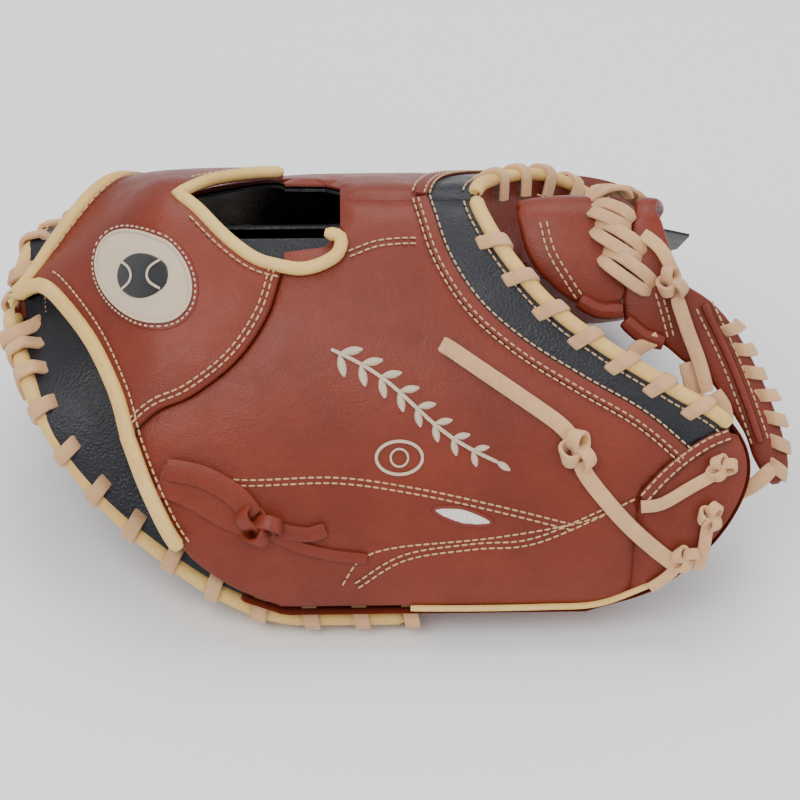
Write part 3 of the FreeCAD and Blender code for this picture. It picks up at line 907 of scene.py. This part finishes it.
tapeLook = {"width": 5.4, "thick": 1.3, "lift": 1.2}


def tapes():
    # Narrow leather tapes over the seams, each with rows of stitches.
    for side, word in halves:
        line = [(12, side * 1.0)] + onSide(bandLine[1:], side)
        data = ribbonData(line, tapeLook["width"], tapeLook["thick"], tapeLook["lift"])
        add(word + "BandTape", word + "_side", [word + "_band_tape"], brownRaw, data=data)
        rows = [stitchData(line, h=2.0, shift=s) for s in (-3.4, 3.4)]
        rows.append(stitchData(line, h=2.0, shift=-1.3, length=2.2))
        if side < 0:
            tipTape = [(97, -121), (105, -112.5), (114, -105), (123, -99.5), (131, -96.5)]
            add("thumbTipTape", "thumb_side", ["thumb_tip_tape"], brownRaw,
                data=ribbonData(tipTape, 5.0, tapeLook["thick"], 1.5))
            rows += [stitchData(tipTape, h=2.2, shift=s) for s in (-1.6, 1.6)]
        add(word + "TapeStitches", word + "_side", [], cotton, data=gather(rows))


rimLook = {"piping": 2.6, "heelRoll": (7.0, 8.6), "lowRoll": (5.6, 6.2), "pitch": 20.0,
           "laceWidth": 6.0, "laceThick": 2.2}


def rims():
    # Piping along the rim and seams stitched through the back.
    for side, word in halves:
        pipe = onSide([(6, 163.6), (30, 163.9), (58, 163.7), (80, 162.6), (100, 155.5)], side)
        data = ribbonData(pipe, rimLook["piping"], rimLook["piping"], 0.7, corner=0.48)
        add(word + "Piping", word + "_side", [word + "_piping"], camel, data=data)
        heel = flipped(curve2(heelCurves[side] + [(-22, 165), (4, 165)]), side)
        heel = [q for q in heel if abs(q.y) > 1.5]
        kind = heelKind[side]
        p, n = laid(sideways(heel, 2.6 * side), 0.0, kind)
        high = sweepData(p, n, section(*rimLook["heelRoll"], 0.48, 6), 0.3)
        p, n = laid(sideways(heel, 1.2 * side), -9.0, kind)
        low = sweepData(p, n, section(*rimLook["lowRoll"], 0.48, 5), 0.3)
        add(word + "HeelBinding", word + "_side", [word + "_heel_binding"], camel,
            data=gather([high, low]))
        loops = [whipData(q.x, q.y, wayAt(heel, q), width=rimLook["laceWidth"],
                          thick=rimLook["laceThick"], rise=6.2, inner=8.0, outer=6.2,
                          drop=9.0, skew=-3.0 * side, kind=kind, flip=side * 1.0)
                 for q in evenly(heel, rimLook["pitch"])[1:]]
        add(word + "HeelLace", word + "_side", [word + "_heel_lace"], lace,
            data=gather(loops))
        rows = [stitchData([q for q in heel if q.x < -50], h=0.7, shift=-11.0 * side,
                           kind=linerAt if side < 0 else farLinerAt)]
        if side < 0:
            rows += seams()
        add(word + "SeamStitches", word + "_side", [], cotton, data=gather(rows))


def seams():
    # Quilting seams across the thumb's back.
    high = 1.7
    lower = [(-79, -109), (-60, -113), (-23, -112.5), (8, -117), (39, -124), (70, -132)]
    under = [(-21, -154), (-14, -144), (0, -139), (39, -135.5), (74, -129.5), (94, -121)]
    third = [(-15, -155), (4, -144), (31, -140), (55, -138), (88, -124.5)]
    top = [(-17, -25), (-6, -21), (4, -20), (10, -20)]
    rows = [stitchData(lower, h=high, shift=s) for s in (-1.1, 1.1)]
    rows.append(stitchData(under, h=high))
    rows += [stitchData(third, h=high, shift=s) for s in (0.0, 2.2)]
    rows += [stitchData(top, h=high, shift=s) for s in (-1.1, 1.1)]
    return rows


slotLook = {"centre": (26.5, 127.0), "long": 11.6, "high": 3.3, "slope": 0.22}


def felt():
    # A ventilation slot: a raised leather lip round white wool felt.
    middle, high = slotLook["centre"]
    lip = []
    for i in range(41):
        t = math.tau * i / 40
        x = middle + slotLook["long"] * math.cos(t)
        r = high + slotLook["high"] * math.sin(t) * (1.0 - 0.25 * abs(math.cos(t)))
        lip.append((x, -(r + slotLook["slope"] * (x - middle))))
    add("slotLip", "thumb_side", [], brown,
        data=ribbonData(lip, 1.6, 1.6, 1.5, corner=0.45, step=1.5))
    loop = [Vector((middle + (x - middle) * 0.96, s)) for x, s in lip[:-1]]
    rng = random.Random(4)
    addPanel("slotFelt", "thumb_side", ["thumb_slot_felt"], loop, wool, h=1.75, thick=1.5,
             edge=0.8, lattice=1.4, puff=0.5, relief=lambda x, y: 0.25 * rng.random())


embroideryLook = {"start": (-24.0, -62.0), "end": (40.0, -106.0), "leafPairs": 8,
                  "leafLength": 9.0, "leafWidth": 3.4, "rise": 2.0,
                  "ringCentre": (2.0, -104.0)}


def leafData(root, tip, width, h):
    line = [root.lerp(tip, k / 6.0) for k in range(7)]
    points, normals = laid(line, h)
    verts, faces = [], []
    for k, p in enumerate(points):
        way = (points[min(6, k + 1)] - points[max(0, k - 1)]).normalized()
        out = way.cross(normals[k]).normalized()
        wide = width * 0.5 * math.sin(math.pi * (0.06 + 0.88 * k / 6.0)) ** 0.8
        for u, v in ((-1.0, -0.6), (-0.55, 0.25), (0.0, 0.42), (0.55, 0.25), (1.0, -0.6)):
            verts.append(p + out * (wide * u) + normals[k] * v)
    for k in range(6):
        for j in range(4):
            faces.append((k * 5 + j, k * 5 + j + 1, k * 5 + j + 6, k * 5 + j + 5))
        faces.append((k * 5 + 4, k * 5, k * 5 + 5, k * 5 + 9))
    faces += [(4, 3, 2, 1, 0), (30, 31, 32, 33, 34)]
    return verts, faces


def embroidery():
    # A stitched sprig of leaves and a small plain ball in an oval below it.
    look = embroideryLook
    rise = look["rise"]
    first, last = Vector(look["start"]), Vector(look["end"])
    way = (last - first).normalized()
    out = Vector((-way.y, way.x))
    stem = [first + (last - first) * (k / 8.0) + out * (2.0 * math.sin(k * 0.785))
            for k in range(9)]
    parts = [ribbonData(stem, 1.5, 0.9, rise, corner=0.45)]
    for k in range(look["leafPairs"]):
        t = (k + 0.35) / look["leafPairs"] * 0.94
        root = first.lerp(last, t) + out * (2.0 * math.sin(t * 6.28))
        size = look["leafLength"] * (1.0 - 0.35 * t)
        for turn in (-1.0, 1.0):
            tip = root + way * (size * 0.78) + out * (turn * size * 0.72)
            parts.append(leafData(root + (tip - root) * 0.1, tip,
                                  look["leafWidth"] * (1.0 - 0.25 * t), rise + 0.2))
    parts.append(leafData(last, last + way * 6.0, look["leafWidth"] * 0.8, rise + 0.2))
    x, s = look["ringCentre"]
    for a, b, width in ((9.0, 6.4, 1.3), (3.4, 3.4, 0.9)):
        ring = [(x + a * math.cos(math.tau * k / 32), s + b * math.sin(math.tau * k / 32))
                for k in range(33)]
        parts.append(ribbonData(ring, width, 0.9, rise, corner=0.45, step=1.2))
    add("thumbEmbroidery", "thumb_side", ["thumb_embroidery"], satin, data=gather(parts))


laceLook = {"width": 6.4, "thick": 1.7, "knotSize": 6.6, "knotWidth": 5.6}
pullLook = {"knotSize": 7.4, "knotWidth": 6.0, "knotThick": 2.0}


def knotAt(at, fromSpot, toSpot, kind=domeAt, size=6.0, width=5.0, thick=1.7, turn=0.0):
    # A knot lying on the surface, in line with its lace; each place is (x, s, height).
    way = (spot(*toSpot, kind) - spot(*fromSpot, kind)).normalized()
    return knotData(spot(*at, kind), surfaceNormal(at[0], at[1], kind), way,
                    size, width, thick, turn)


def laces():
    # The long thumb lace runs to a knot and leaves a loose tail.
    flat = section(laceLook["width"], laceLook["thick"])
    run = [(17, -59), (21, -61.5), (34, -70.5), (50, -81.5), (64, -91.5), (70, -98)]
    line = smoothLine(run, 2.5)
    p, n = laid(line, [min(2.6, -0.6 + 1.0 * i) for i in range(len(line))])
    knot = knotAt((71, -102, 4.6), (68, -92, 4.6), (74, -113, 4.6),
                  size=laceLook["knotSize"], width=laceLook["knotWidth"])
    add("thumbLaceRun", "thumb_side", ["thumb_lace_run"], lace,
        data=gather([sweepData(p, n, flat), knot]))
    tail = [(72, -106), (75, -112), (82, -121), (91, -131), (101, -140), (110, -147)]
    line = smoothLine(tail, 2.5)
    p, n = laid(line, [4.2 - 0.5 * i if i < 4 else 2.6 for i in range(len(line))])
    obj = add("thumbLaceTail", "thumb_side", ["thumb_lace_tail"], lace,
              data=sweepData(p, n, flat))
    # The pull strap with its overhand knot, near the heel.
    parts = [ribbonData([(-91, -111), (-80, -115), (-66, -123), (-55, -128)], 14.0, 2.0, 2.6),
             ribbonData([(-88, -107), (-74, -110), (-62, -117), (-55, -125)], 9.0, 1.8, 4.6),
             ribbonData([(-52, -129), (-44, -131.5), (-34, -133), (-27, -131)], 6.2, 1.7, 3.0),
             ribbonData([(-52, -131), (-40, -137), (-26, -141), (-11, -143)], 4.6, 1.6, 2.4),
             knotAt((-53, -129, 5.2), (-60, -124, 5.2), (-40, -134, 5.2),
                    size=pullLook["knotSize"], width=pullLook["knotWidth"],
                    thick=pullLook["knotThick"], turn=0.4)]
    add("pullStrap", "thumb_side", ["thumb_pull_strap"], brown, data=gather(parts))


def strip(points, width, side, h, thick=1.7, corner=0.35):
    return ribbonData(onSide(points, side), width, thick, h, webAt, corner)


webLook = {"thick": 2.6, "basePuff": 2.6, "bridgePuff": 2.2, "capPuff": 2.0, "edge": 1.4,
           "laceWidth": 5.2, "laceThick": 2.2, "laceApart": 5.8, "whipPitch": 11.0}
webCapRib = [(123, 45), (132, 64), (139, 82), (145, 100)]


def webLeathers():
    near = curve2([(51, 0), (50, 8), (54, 25), (62, 36), (72, 44), (83, 48.5), (92, 42),
                   (93, 22), (91, 0)])
    loop = joined(flipped(near, -1), list(reversed(flipped(near, 1))))
    addPanel("webBase", "web", ["web_base"], loop, brown, h=0.0, thick=webLook["thick"],
             kind=webAt, puff=webLook["basePuff"], edge=webLook["edge"])
    near = curve2([(97, 0), (96, 8), (94, 26), (91.5, 48), (96, 57), (107, 61), (118, 69),
                   (122, 60), (117, 42), (110, 22), (104, 0)])
    far = curve2([(97, 0), (97, 6), (99, 24), (100, 42), (104, 54), (109, 52), (111, 36),
                  (109, 20), (106, 6), (104, 0)])
    loop = joined(flipped(near, -1), list(reversed(flipped(far, 1))))
    addPanel("webBridge", "web", ["web_bridge"], loop, brown, h=0.4,
             thick=webLook["thick"], kind=webAt, puff=webLook["bridgePuff"],
             edge=webLook["edge"])
    cap = [(112, 37), (120, 40), (129, 47), (138, 59), (148, 79), (155, 100), (156, 112),
           (150, 117), (143, 107), (139, 96), (129, 80), (119, 66), (113, 50)]
    addPanel("webCap", "web", ["web_cap"], smoothLine(side2(cap, -1), 2.5, closed=True),
             brown, h=1.6, thick=webLook["thick"], kind=webAt, puff=webLook["capPuff"],
             edge=webLook["edge"])
    rolls = [strip([(74, 43), (82, 47), (91, 47)], 7.0, side, 1.8, 6.6, 0.48)
             for side in (-1, 1)]
    rolls.append(strip([(92, 51), (99, 57), (107, 60)], 7.0, -1, 1.8, 6.6, 0.48))
    rolls.append(strip(webCapRib, 3.4, -1, 3.6, 3.6, 0.48))
    add("webRolls", "web", [], brown, data=gather(rolls))


def webLaces():
    # Pairs of lace arching from the base to the bridge, and the web's stitches.
    rows = []
    apart = webLook["laceApart"] / 2
    for side, word in halves:
        pairs = []
        for x0, r0, x1, r1 in ((79, 5, 95, 13), (80, 14, 99, 26), (83, 25, 103, 39)):
            for d in (-apart, apart):
                first, last = side2([(x0, r0), (x1, r1)], side)
                way = (last - first).normalized()
                out = Vector((-way.y, way.x)) * d
                line = [first.lerp(last, k / 9.0) + out * (1.0 - 0.5 * (k / 4.5 - 1) ** 4)
                        for k in range(10)]
                heights = [5.6 - 4.8 * abs(k / 4.5 - 1) ** 3 for k in range(10)]
                p, n = laid(line, heights, webAt)
                flat = section(webLook["laceWidth"], webLook["laceThick"], 0.46)
                pairs.append(sweepData(p, n, flat, 0.3))
        add("webLace" + word.title(), "web", ["web_lace_" + word], lace,
            data=gather(pairs))
        lines = [([(60, 12), (63, 24), (70, 36), (74, 42)], (-1.3, 1.3), 2.6)]
        if side < 0:
            lines.append(([(105, 40), (108, 50), (110, 58)], (-1.2, 1.2), 2.8))
            lines.append((webCapRib, (3.4, -3.4), 3.0))
        for points, shifts, h in lines:
            rows += [stitchData(onSide(points, side), h=h, shift=s, kind=webAt)
                     for s in shifts]
    add("webStitches", "web", [], cotton, data=gather(rows))


def web():
    # Leathers laced together and folded over with the mitt.
    webLeathers()
    webLaces()
    tie = [strip([(105, 58), (97, 62), (91, 69)], 6.0, -1, 3.6, 2.2, 0.46),
           strip([(99, 18), (106, 24), (111, 33)], 5.4, -1, 5.0, 2.0, 0.45),
           strip([(112, 42), (116, 54), (121, 68), (124, 80)], 5.8, -1, 5.4, 2.0, 0.45),
           strip([(116, 68), (118, 76), (119.5, 87)], 6.6, -1, 3.2, 2.2, 0.46),
           strip([(127, 80), (131, 88), (130, 100)], 6.4, -1, 4.4, 2.2, 0.46),
           strip([(150, 110), (142, 117), (131, 122)], 6.2, -1, 4.0, 2.2, 0.46)]
    rim = [(128, 49), (137, 56.5), (141.5, 66.5), (146, 77), (150.5, 84), (154, 100),
           (152.5, 113)]
    marks = evenly(smoothLine(side2(rim, -1), 2.5), webLook["whipPitch"])
    for a, b in zip(marks, marks[1:]):
        way, mid = (b - a).normalized(), (a + b) * 0.5
        tie.append(whipData(mid.x, mid.y, way, width=webLook["laceWidth"], rise=4.2,
                            inner=6.0, outer=2.4, drop=4.0, skew=5.0, kind=webAt))
    tie.append(knotAt((110, -37, 6.0), (106, -28, 5), (113, -42, 5), webAt, 5.4, 4.8))
    add("webCapLace", "web", ["web_cap_lace"], lace, data=gather(tie))


def tipKnots():
    # Short knotted ends where the web lace ties off on the thumb tip.
    parts = []
    for x, r, tail, width in (
        (127, 109, [(124, 112), (115, 117), (104, 123), (96, 124)], 5.0),
        (123, 128, [(122, 132), (121, 140), (119, 149)], 5.0),
        (113, 144, [(111, 147), (106, 152), (100, 156)], 4.6),
    ):
        ends = onSide(tail, -1)
        parts.append(knotAt((x, -r, 4.0), (*ends[0], 3.0), (*ends[-1], 3.0), domeAt,
                            4.6, 4.4, 1.6, x))
        line = smoothLine([(x, -r)] + ends, 2.0)
        p, n = laid(line, [3.4 - min(1.0, 0.2 * i) for i in range(len(line))])
        parts.append(sweepData(p, n, section(width, 1.6)))
    add("tipKnots", "thumb_side", [], lace, data=gather(parts))


pocketLook = {"depth": 55.0, "half": 11.0, "rise": 9.0, "thick": 2.4, "across": 13}


def pocket():
    # The pocket leather runs under the fold from one palm to the other.
    verts, faces = [], []
    across = pocketLook["across"]
    stations = list(range(-112, 60, 4))
    for x in stations:
        for k in range(across):
            t = -1 + 2 * k / (across - 1)
            z = axisHeight - pocketLook["depth"]
            z += pocketLook["rise"] * math.cos(t * math.pi / 2) - 1.5 * abs(t)
            verts.append(Vector((x + mitt["shift"], t * pocketLook["half"], z)))
    count = len(verts)
    verts += [v + Vector((0, 0, -pocketLook["thick"])) for v in verts]
    last = count - across
    for i in range(0, last, across):
        for a in range(i, i + across - 1):
            b, c, d = a + 1, a + across + 1, a + across
            faces.append((a, d, c, b))
            faces.append((a + count, b + count, c + count, d + count))
    for k in range(across - 1):
        faces.append((k, k + 1, k + 1 + count, k + count))
        faces.append((last + k + 1, last + k, last + k + count, last + k + 1 + count))
    for a in range(0, last, across):
        b = a + across
        faces.append((b, a, a + count, b + count))
        a, b = a + across - 1, b + across - 1
        faces.append((a, b, b + count, a + count))
    foot = axisHeight * 0.001 - 0.05
    add("pocketLeather", None, ["pocket_leather"], brown, data=(verts, faces),
        blendTo=((0, -0.011, foot), (0, 0.011, foot)))


print("strap and patch")
strap()
patch()
print("edges")
webEdges()
tapes()
rims()
felt()
embroidery()
print("laces")
laces()
tipKnots()
print("web")
web()
pocket()


studioLook = {
    "floor": 0.9, "world": (0.9, 0.92, 0.95), "worldStrength": 0.95,
    "lens": 150.0, "turn": -1.0, "rise": 41.0, "distance": 1.31,
    "target": (0.0, -0.058, 0.084),
    "lights": (("keyLight", (-0.5, -0.9, 1.5), 1.0, 15.0),
               ("fillLight", (1.2, -0.9, 0.9), 1.2, 6.0),
               ("topLight", (0.1, 0.5, 1.4), 1.0, 11.0)),
}


def studio():
    # Pale floor, a big soft key from above, a fill and the camera.
    bpy.ops.object.select_all(action="DESELECT")
    link = bpy.context.scene.collection.objects.link
    floorMesh = bpy.data.meshes.new("floor")
    floorMesh.from_pydata([(-3, -3, 0), (3, -3, 0), (3, 3, 0), (-3, 3, 0)], [], [(0, 1, 2, 3)])
    floor = bpy.data.objects.new("floor", floorMesh)
    link(floor)
    pale = bpy.data.materials.new("paleFloor")
    pale.use_nodes = True
    shader = pale.node_tree.nodes["Principled BSDF"]
    shader.inputs["Base Color"].default_value = (*[studioLook["floor"]] * 3, 1)
    shader.inputs["Roughness"].default_value = 0.8
    floorMesh.materials.append(pale)
    for label, at, size, power in studioLook["lights"]:
        data = bpy.data.lights.new(label, "AREA")
        data.energy = power
        data.size = size
        light = bpy.data.objects.new(label, data)
        light.location = at
        aim = Vector((0, -0.04, 0.07)) - Vector(at)
        light.rotation_euler = aim.to_track_quat("-Z", "Y").to_euler()
        link(light)
    world = bpy.data.worlds.new("studio")
    bpy.context.scene.world = world
    world.use_nodes = True
    sky = world.node_tree.nodes["Background"].inputs
    sky["Color"].default_value = (*studioLook["world"], 1)
    sky["Strength"].default_value = studioLook["worldStrength"]
    data = bpy.data.cameras.new("camera")
    data.lens = studioLook["lens"]
    camera = bpy.data.objects.new("camera", data)
    az, el = math.radians(studioLook["turn"]), math.radians(studioLook["rise"])
    back = Vector((math.sin(az) * math.cos(el), -math.cos(az) * math.cos(el), math.sin(el)))
    camera.location = Vector(studioLook["target"]) + back * studioLook["distance"]
    camera.rotation_euler = back.to_track_quat("Z", "Y").to_euler()
    link(camera)
    bpy.context.scene.camera = camera


print("studio")
studio()
